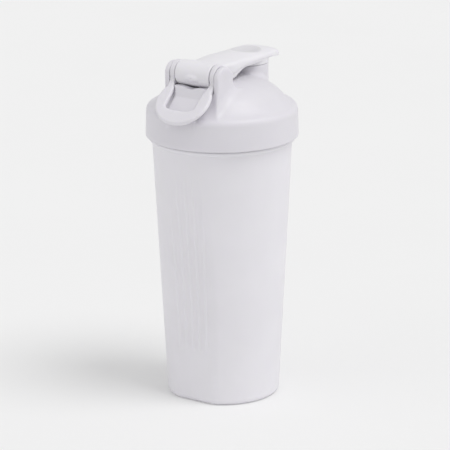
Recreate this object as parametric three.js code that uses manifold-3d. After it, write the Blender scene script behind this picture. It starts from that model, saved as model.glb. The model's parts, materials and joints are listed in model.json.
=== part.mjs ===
// A protein shaker bottle: a tapered drinking cup, a domed screw lid with a drinking spout,
// a flip cap and a carry loop on one hinge, and a wire whisk ball inside.
// Units are millimetres. The origin is the centre of the cup's flat base, +Z is up,
// the hinge is towards -Y and the spout towards +Y.
import * as THREE from 'three';
import { mergeVertices } from 'three/addons/utils/BufferGeometryUtils.js';
import Module from 'manifold-3d';

const wasm = await Module();
wasm.setup();

// ---------------------------------------------------------------- driving dimensions
const GAP = 0.3;                      // between pieces that touch
const ROUND_SEGMENTS = 48;            // facets round the cup and the lid

const BASE_RADIUS = 36.2;             // cup
const TAPER = 0.05125;                // growth of the cup's radius per mm of height
const BASE_EDGE = 2.6;
const WALL = 2;
const FLOOR = 2.5;
const BEAD_BOTTOM = 169.2;
const BEAD_TOP = 171.7;
const BEAD_RADIUS = 46.7;
const NECK_RADIUS = 44.1;
const NECK_INNER_RADIUS = 42.2;
const RIM_HEIGHT = 187.2;

const PANEL_TOP = 152;                // recessed grip panel, front and back
const PANEL_BASE_DISTANCE = 33.3;
const PANEL_SLOPE = 0.035;
const PANEL_FLARE = 1.6e-6;
const RIB_PITCH = 5.9;
const RIB_WIDTH = 2.2;
const RIB_HEIGHT = 0.7;
const RIB_BOTTOM = 34;
const RIB_TOPS = [128, 140, 143, 140, 128];

const THREAD_LEAD = 9;                // screw thread between the cup and the lid
const THREAD_RADIUS = 1.4;
const THREAD_TURNS = 1;
const CUP_THREAD_RADIUS = 44.2;
const CUP_THREAD_START = 176.2;
const LID_THREAD_RADIUS = 46.2;
const LID_THREAD_DROP = 2.6;          // the lid's thread runs this far under the cup's

const SKIRT_BOTTOM = 172;             // lid
const SKIRT_RADIUS = 49;
const SKIRT_INNER_RADIUS = 46.9;
const LEDGE_HEIGHT = 189;
const LIP_BOTTOM = 181.5;
const LIP_OUTER_RADIUS = 41.5;
const LIP_INNER_RADIUS = 39.8;
const DOME_WALL = 2.2;
const DOME_OUTLINE = [                // radius and height, from the skirt up to the centre
  [48.5, 189.4], [47.9, 190.8], [46.4, 192], [44, 193.3], [41, 195.8], [37.5, 199.4],
  [34, 202.4], [30, 204.9], [25, 206.8], [18, 208.6], [10, 209.9], [0, 210.4],
];

const SPOUT_Y = 30;                   // drinking spout
const SPOUT_TOP = 213.3;
const SPOUT_RADIUS = 13.3;
const SPOUT_BORE = 11;

const HINGE_Y = -26.5;                // hinge shared by the flip cap and the carry loop
const HINGE_Z = 216.6;
const BARREL_RADIUS = 8;
const BARREL_HALF = 12.6;
const EYE_HALF = 16.7;
const EYE_RADIUS = 7.6;
const SLOT_HALF = 17;
const SLOT_RADIUS = 8.4;
const EAR_HALF = 20.5;
const EAR_RISE = 6.7;                 // top of the ears above the hinge axis
const SADDLE_HEIGHT = 209.7;          // floor between the ears
const APRON_Y = -34.4;                // wall under the barrel, between the loop's arms
const APRON_HALF = 12.3;
const APRON_FOOT_HALF = 10.4;
const RAMP_CREASE = 17.4;             // ramp under the loop, along it from the hinge axis
const RAMP_END = 29.4;
const RAMP_DROP = 2.2;                // below the loop's middle plane
const PIN_RADIUS = 1.9;
const PIN_HALF = 19.4;
const PIN_HOLE_RADIUS = 2.25;
const PIN_HOLE_HALF = 19.8;

const ARM_HALF = 13.8;                // flip cap
const ARM_ROOT_HALF = 12.6;           // where it passes between the ears
const ARM_WALL = 2.4;                 // top
const ARM_SIDE_WALL = 1.6;
const ARM_EDGE = 1.5;
const ARM_LOWER_EDGE = 217.5;
const CAP_TOP = 224;
const TAB_END = 51.2;
const TAB_END_TOP = 219.4;
const RECESS_RADIUS = 10.3;
const RECESS_DEPTH = 1.2;
const BOSS_RADIUS = 8.4;
const BOSS_INNER_RADIUS = 6.6;
const BOSS_BOTTOM = 211.8;
const COLLAR_WALL = 1.4;              // ring that stands on the spout's rim
const SEAL_FLANGE_RADIUS = 11.5;

const LOOP_TILT = 41;                 // carry loop, degrees below level at rest
const LOOP_THICKNESS = 3;
const LOOP_INNER_HALF = 13.3;         // between the eyes
const LOOP_OPENING_HALF = 10.9;       // between the arms
const LOOP_HALF = 19.2;
const LOOP_SHOULDER = 13;             // distances from the hinge axis
const LOOP_BEND = 22;
const LOOP_END = 39.7;
const LOOP_OPENING_END = 29.8;

const BALL_RADIUS = 25;               // whisk ball
const WIRE_RADIUS = 1.1;
const BALL_TURNS = 8;

// ---------------------------------------------------------------- solids
/** A closed geometry as a solid that can be joined and cut. */
function solidOf(geometry) {
  const bare = geometry.clone();
  bare.deleteAttribute('normal');
  bare.deleteAttribute('uv');
  const merged = mergeVertices(bare, 1e-5);
  const vertProperties = new Float32Array(merged.attributes.position.array);
  const triVerts = new Uint32Array(merged.index.array);
  return new wasm.Manifold(new wasm.Mesh({ numProp: 3, vertProperties, triVerts }));
}

/** A solid as a geometry for a mesh. */
function geometryOf(solid) {
  const { vertProperties, triVerts } = solid.getMesh();
  const geometry = new THREE.BufferGeometry();
  geometry.setAttribute('position', new THREE.BufferAttribute(vertProperties, 3));
  geometry.setIndex(new THREE.BufferAttribute(triVerts, 1));
  return geometry;
}

/** A [radius, height] outline turned about the Z axis; it runs up the outside first. */
function turned(outline, segments = ROUND_SEGMENTS) {
  const points = outline.map(([radius, height]) => new THREE.Vector2(radius, height));
  const geometry = new THREE.LatheGeometry(points, segments);
  return solidOf(geometry.rotateX(Math.PI / 2));
}

/** A closed shape drawn in (y, z), extruded along X from x0 to x1. */
function extrudedX(shape, x0, x1, edge = 0) {
  const geometry = new THREE.ExtrudeGeometry(shape, {
    depth: x1 - x0 - 2 * edge,
    curveSegments: 10,
    bevelEnabled: edge > 0,
    bevelThickness: edge,
    bevelSize: edge,
    bevelOffset: -edge,
    bevelSegments: 2,
  });
  const axes = new THREE.Matrix4().set(0, 0, 1, x0 + edge, 1, 0, 0, 0, 0, 1, 0, 0, 0, 0, 0, 1);
  return solidOf(geometry.applyMatrix4(axes));
}

/** A closed shape drawn in (z, x), extruded along Y from y0 to y1. */
function extrudedY(shape, y0, y1) {
  const geometry = new THREE.ExtrudeGeometry(shape, { depth: y1 - y0, bevelEnabled: false });
  const axes = new THREE.Matrix4().set(0, 1, 0, 0, 0, 0, 1, y0, 1, 0, 0, 0, 0, 0, 0, 1);
  return solidOf(geometry.applyMatrix4(axes));
}

/** A closed shape drawn in (x, y), extruded upwards from z0 to z1. */
function extrudedZ(shape, z0, z1) {
  const geometry = new THREE.ExtrudeGeometry(shape, {
    depth: z1 - z0,
    curveSegments: 10,
    bevelEnabled: false,
  });
  return solidOf(geometry.translate(0, 0, z0));
}

/** A round bar on the hinge axis, from x0 to x1. */
function hingeBar(radius, x0, x1, segments = 32) {
  const geometry = new THREE.CylinderGeometry(radius, radius, x1 - x0, segments);
  geometry.rotateZ(Math.PI / 2);
  geometry.translate((x0 + x1) / 2, HINGE_Y, HINGE_Z);
  return solidOf(geometry);
}

/** A tube of round section along a curve. */
function tube(curve, radius, steps, sides = 8) {
  const section = new THREE.Shape();
  section.absarc(0, 0, radius, 0, 2 * Math.PI);
  const geometry = new THREE.ExtrudeGeometry(section, {
    steps,
    curveSegments: sides / 2,         // per half circle
    extrudePath: curve,
  });
  return solidOf(geometry);
}

function shapeOf(points) {
  return new THREE.Shape(points.map(([a, b]) => new THREE.Vector2(a, b)));
}

/** Right-hand helix about the Z axis. */
class Helix extends THREE.Curve {
  constructor(radius, start, turns) {
    super();
    this.radius = radius;
    this.start = start;
    this.turns = turns;
  }

  getPoint(t, target = new THREE.Vector3()) {
    const angle = 2 * Math.PI * this.turns * t;
    return target.set(
      this.radius * Math.cos(angle),
      this.radius * Math.sin(angle),
      this.start + THREAD_LEAD * this.turns * t,
    );
  }
}

/** Wire wound on a sphere from its lower pole to its upper one. */
class BallWinding extends THREE.Curve {
  getPoint(t, target = new THREE.Vector3()) {
    const radius = BALL_RADIUS - WIRE_RADIUS;
    const endTilt = 0.22;
    const tilt = endTilt + (Math.PI - 2 * endTilt) * t;
    const angle = 2 * Math.PI * BALL_TURNS * t;
    return target.set(
      radius * Math.sin(tilt) * Math.cos(angle),
      radius * Math.sin(tilt) * Math.sin(angle),
      -radius * Math.cos(tilt),
    );
  }
}

// ---------------------------------------------------------------- cup
const coneRadius = (z) => BASE_RADIUS + TAPER * z;
const panelDistance = (z) => PANEL_BASE_DISTANCE + PANEL_SLOPE * z + PANEL_FLARE * z ** 3;
const mirrorY = (solid) => solid.mirror([0, 1, 0]);

/** The side of a grip panel as [y, z] points, moved outwards by offset. */
function panelLine(z0, z1, offset) {
  const steps = 8;
  const line = [];
  for (let i = 0; i <= steps; i += 1) {
    const z = z0 + ((z1 - z0) * i) / steps;
    line.push([-panelDistance(z) - offset, z]);
  }
  return line;
}

/** Everything in front of a grip panel that is moved outwards by offset. */
function frontOfPanel(offset) {
  const beyond = -BEAD_RADIUS - 10;
  const outline = [...panelLine(-1, PANEL_TOP, offset), [beyond, PANEL_TOP], [beyond, -1]];
  return extrudedX(shapeOf(outline), -BASE_RADIUS, BASE_RADIUS);
}

/** The ribs of one grip panel: they end where the panel runs out into the round wall. */
function panelRibs() {
  const middle = (RIB_TOPS.length - 1) / 2;
  const ribs = RIB_TOPS.map((top, i) => {
    const x = (i - middle) * RIB_PITCH;
    const crest = panelLine(RIB_BOTTOM, top, RIB_HEIGHT);
    const root = panelLine(RIB_BOTTOM, top, -WALL / 2).reverse();
    return extrudedX(shapeOf([...crest, ...root]), x - RIB_WIDTH / 2, x + RIB_WIDTH / 2);
  });
  return ribs.reduce((all, rib) => all.add(rib));
}

function cup() {
  const outside = turned([
    [0, 0], [BASE_RADIUS - BASE_EDGE, 0], [BASE_RADIUS - 0.8, 0.8],
    [coneRadius(BASE_EDGE), BASE_EDGE], [coneRadius(BEAD_BOTTOM - 1.5), BEAD_BOTTOM - 1.5],
    [BEAD_RADIUS - 0.6, BEAD_BOTTOM], [BEAD_RADIUS, BEAD_BOTTOM + 0.6],
    [BEAD_RADIUS, BEAD_TOP - 0.4], [BEAD_RADIUS - 0.4, BEAD_TOP], [NECK_RADIUS, BEAD_TOP],
    [NECK_RADIUS, RIM_HEIGHT - 0.6], [NECK_RADIUS - 0.6, RIM_HEIGHT], [0, RIM_HEIGHT],
  ]);
  const inside = turned([
    [0, FLOOR], [coneRadius(FLOOR) - WALL - 3, FLOOR], [coneRadius(5.5) - WALL, 5.5],
    [NECK_INNER_RADIUS, 160], [NECK_INNER_RADIUS, RIM_HEIGHT + 1], [0, RIM_HEIGHT + 1],
  ]);
  const outerFront = frontOfPanel(0);
  const innerFront = frontOfPanel(-WALL);
  const shell = outside.subtract(outerFront).subtract(mirrorY(outerFront))
    .subtract(inside.subtract(innerFront).subtract(mirrorY(innerFront)));
  const ribs = panelRibs().intersect(outside);
  const threadPath = new Helix(CUP_THREAD_RADIUS, CUP_THREAD_START, THREAD_TURNS);
  return shell.add(ribs).add(mirrorY(ribs)).add(tube(threadPath, THREAD_RADIUS, 30));
}

// ---------------------------------------------------------------- lid
/** The two ears and the block between them, seen from the side in (y, z). */
function earOutline() {
  const shape = new THREE.Shape();
  shape.moveTo(-37.2, 190);
  shape.lineTo(-37.2, 198.5);
  shape.quadraticCurveTo(-34.5, 202, HINGE_Y - BARREL_RADIUS, 208);
  shape.lineTo(HINGE_Y - BARREL_RADIUS, HINGE_Z);
  shape.absellipse(HINGE_Y, HINGE_Z, BARREL_RADIUS, EAR_RISE, Math.PI, Math.PI / 4, true);
  shape.quadraticCurveTo(-17, 219.4, -17, 215);
  shape.quadraticCurveTo(-17, 208.5, -10, 207);
  shape.lineTo(-10, 190);
  shape.closePath();
  return shape;
}

/** The point this far along the resting loop and this far below its middle plane, in (y, z). */
function besideLoop(along, drop) {
  const tilt = THREE.MathUtils.degToRad(LOOP_TILT);
  return [
    HINGE_Y - along * Math.cos(tilt) + drop * Math.sin(tilt),
    HINGE_Z - along * Math.sin(tilt) - drop * Math.cos(tilt),
  ];
}

/** What the loop's arms pass through as they leave the hinge, in (y, z). */
function armPathOutline() {
  const drop = LOOP_THICKNESS / 2 + 0.6;
  const [nearY, nearZ] = besideLoop(0, drop);
  const [farY, farZ] = besideLoop(28, drop);
  return shapeOf([[nearY, nearZ], [nearY, 230], [farY, 230], [farY, farZ]]);
}

/** The wall under the barrel and the ramp below it, as wide as the loop's opening lets it be. */
function apron() {
  const rampEnd = besideLoop(RAMP_END, RAMP_DROP);
  const side = shapeOf([
    [rampEnd[0], 188], [-20, 188], [-20, SADDLE_HEIGHT], [APRON_Y, SADDLE_HEIGHT],
    besideLoop(RAMP_CREASE, RAMP_DROP), rampEnd,
  ]);
  const footTop = SADDLE_HEIGHT - 5.5;
  const front = shapeOf([
    [180, -APRON_FOOT_HALF], [footTop, -APRON_FOOT_HALF], [SADDLE_HEIGHT, -APRON_HALF],
    [SADDLE_HEIGHT + 1, -APRON_HALF], [SADDLE_HEIGHT + 1, APRON_HALF],
    [SADDLE_HEIGHT, APRON_HALF], [footTop, APRON_FOOT_HALF], [180, APRON_FOOT_HALF],
  ]);
  return extrudedX(side, -APRON_HALF, APRON_HALF).intersect(extrudedY(front, -60, 0));
}

function hingeTower() {
  const saddle = shapeOf([[-50, SADDLE_HEIGHT], [0, SADDLE_HEIGHT], [0, 230], [-50, 230]]);
  const armPath = extrudedX(armPathOutline(), APRON_HALF, SLOT_HALF);
  return extrudedX(earOutline(), -EAR_HALF, EAR_HALF, 1)
    .add(apron())
    .subtract(extrudedX(saddle, -SLOT_HALF, SLOT_HALF))
    .subtract(hingeBar(SLOT_RADIUS, -SLOT_HALF, SLOT_HALF))
    .subtract(armPath)
    .subtract(armPath.mirror([1, 0, 0]))
    .subtract(hingeBar(PIN_HOLE_RADIUS, -PIN_HOLE_HALF, PIN_HOLE_HALF, 20));
}

function spoutBody() {
  return turned([
    [0, 190], [SPOUT_RADIUS + 4.5, 190], [SPOUT_RADIUS + 4, 197], [SPOUT_RADIUS + 2, 200.5],
    [SPOUT_RADIUS + 0.8, 203.5], [SPOUT_RADIUS + 0.2, 206.5], [SPOUT_RADIUS, 210],
    [SPOUT_RADIUS, SPOUT_TOP - 0.7], [SPOUT_RADIUS - 0.7, SPOUT_TOP],
    [0, SPOUT_TOP],
  ], 32).translate([0, SPOUT_Y, 0]);
}

function lid() {
  const outside = turned([
    [0, SKIRT_BOTTOM], [SKIRT_RADIUS - 0.6, SKIRT_BOTTOM], [SKIRT_RADIUS, SKIRT_BOTTOM + 0.6],
    ...DOME_OUTLINE,
  ]);
  const roof = DOME_OUTLINE.filter(([radius]) => radius < LIP_INNER_RADIUS)
    .map(([radius, height]) => [radius, height - DOME_WALL]);
  const inside = turned([
    [0, SKIRT_BOTTOM - 1], [SKIRT_INNER_RADIUS, SKIRT_BOTTOM - 1],
    [SKIRT_INNER_RADIUS, LEDGE_HEIGHT], [LIP_OUTER_RADIUS, LEDGE_HEIGHT],
    [LIP_OUTER_RADIUS, LIP_BOTTOM], [LIP_INNER_RADIUS, LIP_BOTTOM],
    [LIP_INNER_RADIUS, 194.7], ...roof,
  ]);
  const bore = turned([[0, 190], [SPOUT_BORE, 190], [SPOUT_BORE, 220], [0, 220]], 32)
    .translate([0, SPOUT_Y, 0]);
  const threadStart = CUP_THREAD_START - LID_THREAD_DROP;
  const thread = tube(new Helix(LID_THREAD_RADIUS, threadStart, THREAD_TURNS), THREAD_RADIUS, 30);
  return outside.add(spoutBody()).add(hingeTower())
    .subtract(inside).subtract(bore).add(thread);
}

function lidGasket() {
  const inner = LIP_OUTER_RADIUS + GAP;
  const outer = SKIRT_INNER_RADIUS - 0.6;
  const bottom = RIM_HEIGHT + GAP;
  const top = LEDGE_HEIGHT - GAP;
  return turned([
    [inner, bottom], [outer, bottom], [outer, top], [inner, top], [inner, bottom],
  ]);
}

// ---------------------------------------------------------------- flip cap
/** The flip cap seen from the side in (y, z): the top line, then the lower edge of the sides. */
function capOutline() {
  const shape = new THREE.Shape();
  shape.moveTo(HINGE_Y - BARREL_RADIUS, HINGE_Z - 2);
  shape.lineTo(HINGE_Y - BARREL_RADIUS, HINGE_Z + BARREL_RADIUS + 1);
  shape.lineTo(HINGE_Y, HINGE_Z + BARREL_RADIUS);
  shape.quadraticCurveTo(-20, CAP_TOP - 1.6, -10, CAP_TOP - 1.2);
  shape.quadraticCurveTo(4, CAP_TOP - 0.1, 16, CAP_TOP);
  shape.lineTo(28, CAP_TOP);
  shape.quadraticCurveTo(40, CAP_TOP - 0.6, TAB_END + 1, TAB_END_TOP);
  shape.lineTo(TAB_END + 1, TAB_END_TOP - 3.4);
  shape.lineTo(44, TAB_END_TOP - 3.4);
  shape.quadraticCurveTo(38, ARM_LOWER_EDGE, 30, ARM_LOWER_EDGE);
  shape.lineTo(18, ARM_LOWER_EDGE);
  shape.quadraticCurveTo(6, ARM_LOWER_EDGE, -6, 212);
  shape.lineTo(-14, 211.6);
  shape.lineTo(-19.5, 212.6);
  shape.closePath();
  return shape;
}

/** The hollow under the flip cap's top, from the barrel to the tab, in (y, z). */
function capHollow() {
  const roof = CAP_TOP - ARM_WALL;
  const shape = new THREE.Shape();
  shape.moveTo(-18, 205);
  shape.lineTo(-17, roof - 1.6);
  shape.quadraticCurveTo(-6, roof - 0.6, 16, roof);
  shape.lineTo(28, roof);
  shape.quadraticCurveTo(40, roof - 0.6, TAB_END + 1, TAB_END_TOP - ARM_WALL);
  shape.lineTo(TAB_END + 1, 205);
  shape.closePath();
  return shape;
}

/** The flip cap seen from above in (x, y), its edge set in by inset. */
function capPlan(inset) {
  const end = TAB_END - inset;
  const half = ARM_HALF - inset;
  const root = ARM_ROOT_HALF - inset;
  const shape = new THREE.Shape();
  shape.moveTo(root, HINGE_Y);
  shape.lineTo(root, -13);
  shape.quadraticCurveTo(half, -8, half, -2);
  shape.lineTo(half, end - 6.2);
  shape.bezierCurveTo(half - 1.2, end - 2, 7, end, 0, end);
  shape.bezierCurveTo(-7, end, 1.2 - half, end - 2, -half, end - 6.2);
  shape.lineTo(-half, -2);
  shape.quadraticCurveTo(-half, -8, -root, -13);
  shape.lineTo(-root, HINGE_Y);
  shape.closePath();
  return shape;
}

function flipCap() {
  const outside = extrudedX(capOutline(), -ARM_HALF, ARM_HALF, ARM_EDGE)
    .intersect(extrudedZ(capPlan(0), 205, 230));
  const hollow = extrudedX(capHollow(), -ARM_HALF, ARM_HALF)
    .intersect(extrudedZ(capPlan(ARM_SIDE_WALL), 200, 230));
  const recess = turned([
    [0, CAP_TOP - RECESS_DEPTH], [RECESS_RADIUS * 0.5, CAP_TOP - RECESS_DEPTH * 0.8],
    [RECESS_RADIUS, CAP_TOP], [RECESS_RADIUS, CAP_TOP + 2], [0, CAP_TOP + 2],
  ], 32).translate([0, SPOUT_Y, 0]);
  const bossTop = CAP_TOP - ARM_WALL + GAP;
  const ring = (inner, outer, bottom) => turned([
    [inner, bottom], [outer, bottom], [outer, bossTop], [inner, bossTop], [inner, bottom],
  ], 32).translate([0, SPOUT_Y, 0]);
  const boss = ring(BOSS_INNER_RADIUS, BOSS_RADIUS, BOSS_BOTTOM);
  const collar = ring(SPOUT_RADIUS - COLLAR_WALL, SPOUT_RADIUS, SPOUT_TOP + GAP);
  return outside.subtract(hollow).add(boss).add(collar).subtract(recess)
    .add(hingeBar(BARREL_RADIUS, -BARREL_HALF, BARREL_HALF))
    .subtract(hingeBar(PIN_HOLE_RADIUS, -EAR_HALF, EAR_HALF, 20));
}

/** A cup-shaped sleeve on the boss, with a flange that lies on the spout's rim. */
function plugSeal() {
  const inner = BOSS_RADIUS + GAP;
  const flange = SPOUT_TOP + GAP;
  return turned([
    [0, 210], [9.6, 210], [10.1, 210.6], [10.65, flange], [SEAL_FLANGE_RADIUS, flange],
    [SEAL_FLANGE_RADIUS, flange + 1.2], [inner, flange + 1.2], [inner, BOSS_BOTTOM - GAP],
    [0, BOSS_BOTTOM - GAP],
  ], 32).translate([0, SPOUT_Y, 0]);
}

// ---------------------------------------------------------------- carry loop and pin
/** The loop laid flat in (x, y), its hinge axis on y = 0 and its end towards -Y. */
function loopOutline() {
  const shape = new THREE.Shape();
  const endDepth = LOOP_END - LOOP_BEND;
  const corner = LOOP_OPENING_END - 3.4;
  shape.moveTo(EYE_HALF, 0);
  shape.lineTo(-EYE_HALF, 0);
  shape.lineTo(-EYE_HALF, -LOOP_SHOULDER);
  shape.quadraticCurveTo(-LOOP_HALF, -LOOP_SHOULDER - 3, -LOOP_HALF, -LOOP_BEND);
  shape.absellipse(0, -LOOP_BEND, LOOP_HALF, endDepth, Math.PI, 2 * Math.PI);
  shape.quadraticCurveTo(LOOP_HALF, -LOOP_SHOULDER - 3, EYE_HALF, -LOOP_SHOULDER);
  shape.closePath();
  const opening = new THREE.Path();
  opening.moveTo(LOOP_INNER_HALF, 5);
  opening.lineTo(LOOP_INNER_HALF, -9);
  opening.quadraticCurveTo(LOOP_OPENING_HALF, -14, LOOP_OPENING_HALF, -21);
  opening.lineTo(LOOP_OPENING_HALF, -corner);
  opening.bezierCurveTo(LOOP_OPENING_HALF, 0.6 - LOOP_OPENING_END, 6, -LOOP_OPENING_END,
    0, -LOOP_OPENING_END);
  opening.bezierCurveTo(-6, -LOOP_OPENING_END, -LOOP_OPENING_HALF, 0.6 - LOOP_OPENING_END,
    -LOOP_OPENING_HALF, -corner);
  opening.lineTo(-LOOP_OPENING_HALF, -21);
  opening.quadraticCurveTo(-LOOP_OPENING_HALF, -14, -LOOP_INNER_HALF, -9);
  opening.lineTo(-LOOP_INNER_HALF, 5);
  opening.closePath();
  return { shape, opening: new THREE.Shape(opening.getPoints(8)) };
}

function carryLoop() {
  const { shape, opening } = loopOutline();
  const half = LOOP_THICKNESS / 2;
  const band = extrudedZ(shape, -half, half).subtract(extrudedZ(opening, -5, 5))
    .rotate([LOOP_TILT, 0, 0])
    .translate([0, HINGE_Y, HINGE_Z]);
  const eye = hingeBar(EYE_RADIUS, LOOP_INNER_HALF, EYE_HALF);
  return band.add(eye).add(eye.mirror([1, 0, 0]))
    .subtract(hingeBar(PIN_HOLE_RADIUS, -EAR_HALF, EAR_HALF, 20));
}

// ---------------------------------------------------------------- whisk ball
function whiskBall() {
  return tube(new BallWinding(), WIRE_RADIUS, 18 * BALL_TURNS, 6)
    .translate([0, 0, FLOOR + GAP + BALL_RADIUS]);
}

// ---------------------------------------------------------------- assembly
const plastic = { color: 0xe6e4ee, roughness: 0.5, metalness: 0 };
const silicone = { color: 0xd9d7e2, roughness: 0.7, metalness: 0 };
const steel = { color: 0xb9bbc0, roughness: 0.28, metalness: 1 };

const bottle = new THREE.Group();
const pieces = [
  ['cup', cup(), plastic],
  ['lid', lid(), plastic],
  ['lid_gasket', lidGasket(), silicone],
  ['hinge_pin', hingeBar(PIN_RADIUS, -PIN_HALF, PIN_HALF, 20), steel],
  ['flip_cap', flipCap(), plastic],
  ['plug_seal', plugSeal(), silicone],
  ['carry_loop', carryLoop(), plastic],
  ['whisk_ball', whiskBall(), steel],
];
for (const [name, solid, look] of pieces) {
  const mesh = new THREE.Mesh(geometryOf(solid), new THREE.MeshStandardMaterial(look));
  mesh.name = name;
  bottle.add(mesh);
}

export default bottle;
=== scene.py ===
"""Protein shaker bottle: fine meshes, materials, floor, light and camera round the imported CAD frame.

Shapes are worked out in millimetres in the frame's own axes (+Z up, hinge towards -Y, spout
towards +Y) and turned into metres where a mesh is made. Organic pieces are rounded solids
given by a distance field; the cup and the round seals are turned.
"""
import json
import math

import bpy
import numpy as np
from mathutils import Matrix, Vector


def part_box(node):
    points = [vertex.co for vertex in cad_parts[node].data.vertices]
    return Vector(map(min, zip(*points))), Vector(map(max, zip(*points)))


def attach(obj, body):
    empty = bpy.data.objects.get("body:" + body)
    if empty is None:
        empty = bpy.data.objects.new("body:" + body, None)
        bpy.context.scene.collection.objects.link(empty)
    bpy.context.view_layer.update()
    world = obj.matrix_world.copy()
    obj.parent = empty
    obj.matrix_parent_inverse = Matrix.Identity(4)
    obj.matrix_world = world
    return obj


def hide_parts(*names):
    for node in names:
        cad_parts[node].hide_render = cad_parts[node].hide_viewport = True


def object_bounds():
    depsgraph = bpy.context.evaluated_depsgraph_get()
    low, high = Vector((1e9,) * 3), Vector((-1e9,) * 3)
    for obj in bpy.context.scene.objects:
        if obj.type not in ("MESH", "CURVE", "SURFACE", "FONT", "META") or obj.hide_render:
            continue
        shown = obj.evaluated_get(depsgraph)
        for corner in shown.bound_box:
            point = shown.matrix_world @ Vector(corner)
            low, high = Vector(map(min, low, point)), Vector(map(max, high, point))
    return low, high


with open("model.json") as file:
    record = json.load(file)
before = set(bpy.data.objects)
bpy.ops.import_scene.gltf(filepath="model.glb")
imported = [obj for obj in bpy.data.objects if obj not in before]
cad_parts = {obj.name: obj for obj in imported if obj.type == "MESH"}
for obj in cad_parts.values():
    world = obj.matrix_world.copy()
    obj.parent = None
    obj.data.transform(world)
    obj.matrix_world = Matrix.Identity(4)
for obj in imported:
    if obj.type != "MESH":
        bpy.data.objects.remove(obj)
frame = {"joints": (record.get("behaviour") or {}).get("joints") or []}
cad_low, cad_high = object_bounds()

MM = 1000.0


def box_mm(node):
    """The low and high corners of a CAD node's box."""
    low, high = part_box(node)
    return np.array(low) * MM, np.array(high) * MM


def joint_point_mm(name):
    """The point a joint turns about."""
    joint = next(j for j in frame["joints"] if j["name"] == name)
    return np.array(joint["pos_m"]) * MM


# ---------------------------------------------------------------- places taken from the frame
lid_low, lid_high = box_mm("lid")
_, cup_high = box_mm("cup")
cap_low, cap_high = box_mm("flip_cap")
loop_low, loop_high = box_mm("carry_loop")
gasket_low, gasket_high = box_mm("lid_gasket")
seal_low, seal_high = box_mm("plug_seal")
pin_low, pin_high = box_mm("hinge_pin")
_, HINGE_Y, HINGE_Z = joint_point_mm("flip_cap_hinge")

SKIRT_BOTTOM = lid_low[2]
SKIRT_RADIUS = lid_high[0]
RIM_HEIGHT = cup_high[2]
BEAD_RADIUS = cup_high[0]
SPOUT_Y = (seal_low[1] + seal_high[1]) / 2
TAB_END = cap_high[1]
ARM_HALF = cap_high[0]
CAP_BARREL_RADIUS = HINGE_Y - cap_low[1]
CAP_CEILING = cap_high[2] - 0.05

# ---------------------------------------------------------------- shape details, in mm
BASE_RADIUS = 36.2
TAPER = 0.05125
BASE_EDGE = 3.2
WALL = 2.0
FLOOR = 2.5
BEAD_TOP = 171.7
NECK_RADIUS = 44.1
NECK_INNER_RADIUS = 42.2
BASE_RINGS = (2.2, 9, 16, 22, 26)
HEEL_RADIUS = 5.0
HEEL_TOP = 8.0
PANEL_BASE = 33.3                      # distance of the flat grip panel from the axis, at z = 0
PANEL_SLOPE = 0.035
PANEL_FLARE = 1.6e-6                   # the panel dies out into the round wall near the top
PANEL_EDGE = 1.8
PANEL_REACH = math.radians(26)         # half the angle that gets closely spaced columns
RIB_ANGLE = math.radians(8.3)
RIB_HEIGHT = 0.55
RIB_WIDTH = 3.0
RIB_BOTTOM = 34.0
RIB_FADE = 5.0
THREAD_LEAD = 9.0
THREAD_RADIUS = 1.4
THREAD_FADE = 18                       # the thread's ends fade out over a turn divided by this
CUP_THREAD_RADIUS = 44.2
CUP_THREAD_START = 176.2
LID_THREAD_RADIUS = 46.2
LID_THREAD_START = 173.6

SKIRT_TAPER = 0.03
SKIRT_INNER_RADIUS = 46.9
LEDGE_HEIGHT = 189.0
LIP_BOTTOM = 181.5
LIP_OUTER_RADIUS = 41.5
LIP_INNER_RADIUS = 39.8
DOME_WALL = 2.2
DOME_BEND = 2.6
DOME_SCALE = 0.8                       # makes a height above the slope about a true distance
DOME = [(0, 210.4), (10, 209.9), (18, 208.6), (25, 206.8), (30, 204.9), (34, 202.4), (37.5, 199.4),
        (41, 195.8), (43.5, 193.8), (46, 192.4), (48.5, 191.3), (52, 190)]
SPOUT_TOP = 213.3
SPOUT_RADIUS = 13.3
SPOUT_BORE = 11.0
SPOUT_ROOT = 196.0
BORE_BOTTOM = 193.5

EAR_RADIUS = 8.0
EAR_RISE = 6.7
EAR_HALF = 20.5
EAR_BLEND = 4.5
SLOT_HALF = 17.0
SLOT_RADIUS = 8.4
SLOT_BACK = -12.5
SLOT_BUMP_ROOM = 0.7
SADDLE_HEIGHT = 209.7
SADDLE_DIP = 1.3
SADDLE_DIP_HALF = 3.8
APRON_Y = -34.4
APRON_HALF = 12.3
APRON_FOOT_HALF = 10.4
APRON_TAPER = 5.5                      # height over which the wall widens to its top
APRON_ROUND = 0.8
LOOP_ARM_ROOM = 2.1
RAMP_CREASE = 17.4
RAMP_END = 29.4
RAMP_DROP = 2.2
PIN_HOLE_RADIUS = 2.25
PIN_HOLE_HALF = 19.8

BARREL_HALF = 12.9
ARM_ROOT_HALF = 12.6
ARM_WALL = 2.4
ARM_SIDE_WALL = 1.6
ARM_LIP_INSET = 0.5
ARM_HOLLOW_START = -17.0
ARM_ROOT = -17.5                       # the cap may be wider than its barrel from here on
ARM_ROOT_LENGTH = 8.0
DISH_Y = 27.6
DISH_RADIUS = 11.2
DISH_DEPTH = 2.5
DISH_RIM = 222.8
# how far inside the thumb dish's rim the painted shade stops
PAINTED_SHADE_MARGIN = 0.6
COLLAR_WALL = 1.4
COLLAR_GAP = 0.2
BOSS_RADIUS = 8.4
BOSS_MIDDLE_RADIUS = 7.5
BOSS_BOTTOM = 211.8
PAD_MARGIN = 0.5
PAD_DEPTH = 0.6                        # middle of the pad that backs the dish, below the dish's floor
PAD_HALF_THICKNESS = 1.0
BUMP_DROP = math.radians(9)            # the oval on the barrel sits this far below level
BUMP_SINK = 0.5
BUMP_HALF = (5.2, 1.5, 2.3)

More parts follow.
